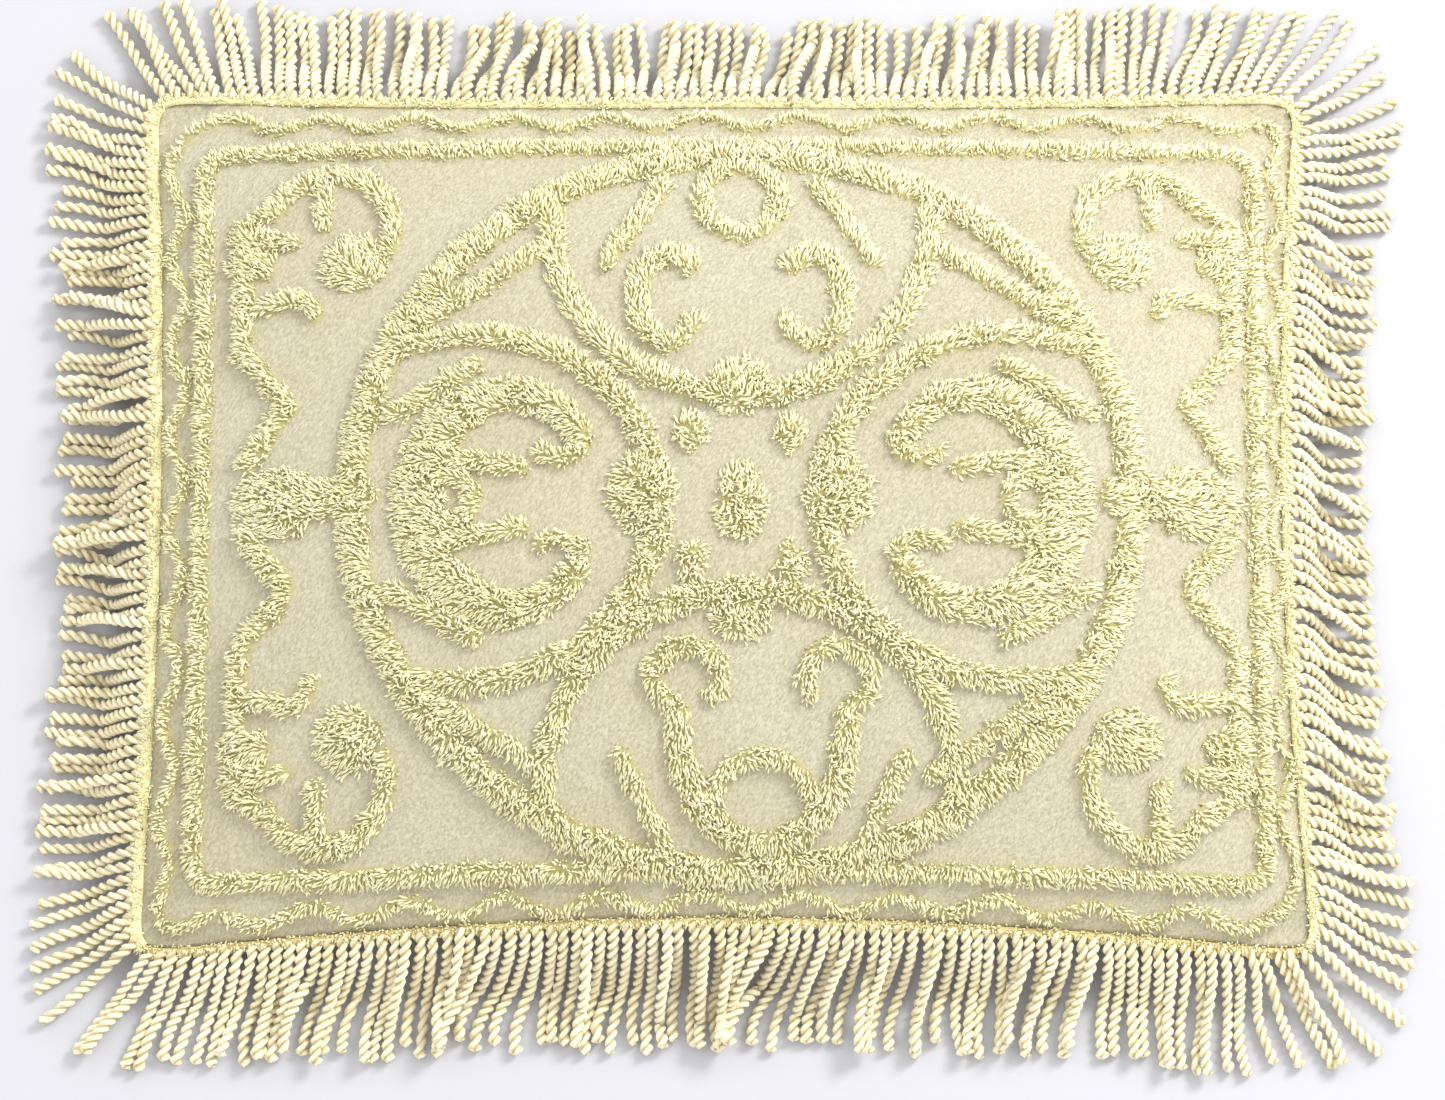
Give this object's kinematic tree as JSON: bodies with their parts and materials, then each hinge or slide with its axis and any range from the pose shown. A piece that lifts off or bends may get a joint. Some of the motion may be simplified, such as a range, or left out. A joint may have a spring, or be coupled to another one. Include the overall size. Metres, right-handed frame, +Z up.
{
  "type": "filled chenille pillow sham with bullion fringe",
  "caption": "Filled rectangular pillow sham with a tufted chenille medallion face, scalloped border and twisted fringe on its four sides, lying on its back.",
  "frame": {"origin": "middle of the flat face under the cushion, on the surface that it rests on", "axes": "+X along the cushion's longer side, +Y towards the upper edge of its tufted face, +Z up through the face"},
  "size_m": [0.7743, 0.6274, 0.0925],
  "materials": {
    "sham_cloth": "crinkled plain cotton, pale butter yellow",
    "chenille_tufts": "short curly cut cotton pile, butter yellow",
    "fringe_cotton": "matt twisted cotton cord, cream"
  },
  "bodies": {
    "root": {"cushion": "sham_cloth", "fringe_front": "fringe_cotton", "fringe_back": "fringe_cotton", "fringe_left": "fringe_cotton", "fringe_right": "fringe_cotton"}
  },
  "joints": []
}
